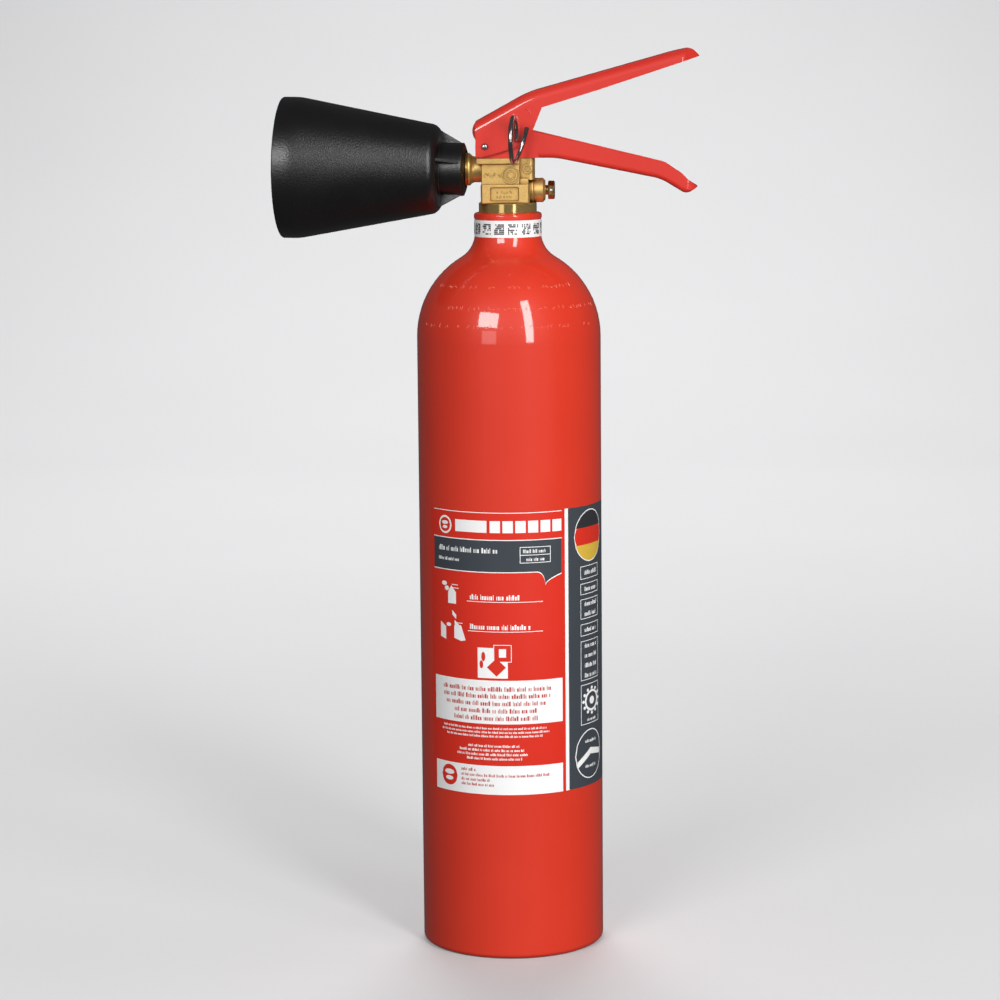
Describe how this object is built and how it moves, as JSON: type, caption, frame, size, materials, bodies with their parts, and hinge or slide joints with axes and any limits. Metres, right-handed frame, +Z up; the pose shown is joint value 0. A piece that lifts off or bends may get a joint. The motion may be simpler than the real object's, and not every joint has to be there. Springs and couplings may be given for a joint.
{
  "type": "portable carbon dioxide fire extinguisher",
  "caption": "Hand-held carbon dioxide fire extinguisher: steel cylinder, brass squeeze-grip valve with locking pin, and a short swivelling discharge horn.",
  "frame": {"origin": "centre of the cylinder's flat base", "axes": "+Z up along the cylinder; the horn points along -X and the grip along +X; the pull ring is on the -Y side"},
  "size_m": [0.2335, 0.1022, 0.5006],
  "materials": {
    "cylinder_paint": "satin powder coat over steel",
    "label_film": null,
    "band_film": "satin white film",
    "seal_rubber": "matt",
    "forged_brass": "bead-blasted forging",
    "turned_brass": "turned bright",
    "spring_steel": "drawn wire",
    "stainless": "turned stainless",
    "tube_aluminium": "drawn tube",
    "grip_paint": "satin powder coat over pressed steel",
    "pin_steel": "bright plated",
    "nylon": "satin",
    "horn_plastic": "fine grained"
  },
  "bodies": {
    "extinguisher": {"cylinder_shell": "cylinder_paint", "body_label": "label_film", "neck_band": "band_film", "neck_o_ring": "seal_rubber", "valve_body": "forged_brass", "gland_nut": "turned_brass", "gland_o_ring": "seal_rubber", "spring_retainer": "turned_brass", "return_spring": "spring_steel", "dip_tube": "tube_aluminium", "tube_nut": "turned_brass", "burst_disc": "stainless", "burst_disc_washer": "tube_aluminium", "burst_disc_plug": "turned_brass", "swivel_set_screw": "stainless", "carry_handle": "grip_paint", "handle_pin": "stainless", "pivot_pin": "pin_steel"},
    "lever": {"squeeze_lever": "grip_paint", "lever_cam": "stainless"},
    "stem": {"valve_stem": "stainless", "stem_poppet": "turned_brass", "seat_disc": "nylon"},
    "locking_pin": {"safety_pin": "pin_steel"},
    "horn": {"discharge_horn": "horn_plastic", "swivel_stub": "turned_brass", "stub_o_ring": "seal_rubber", "gas_nozzle": "turned_brass"}
  },
  "joints": [
    {"name": "lever_squeeze", "type": "hinge", "parent": "extinguisher", "child": "lever", "pos_m": [-0.012, 0, 0.4478], "axis": [0, 1, 0], "range_deg": [0, 14], "stiffness_Nm_per_rad": 2, "springref_deg": -17.19},
    {"name": "stem_push", "type": "slide", "parent": "extinguisher", "child": "stem", "axis": [0, 0, -1], "range_m": [0, 0.0033], "deforming": ["return_spring"]},
    {"name": "pin_pull", "type": "slide", "parent": "extinguisher", "child": "locking_pin", "axis": [0, -1, 0], "range_m": [0, 0.045]},
    {"name": "horn_swivel", "type": "hinge", "parent": "extinguisher", "child": "horn", "pos_m": [-0.0219, 0, 0.4351], "axis": [1, 0, 0], "continuous": true}
  ],
  "couplings": [
    {"joint": "stem_push", "follows": "lever_squeeze", "m_per_rad": 0.0131}
  ]
}
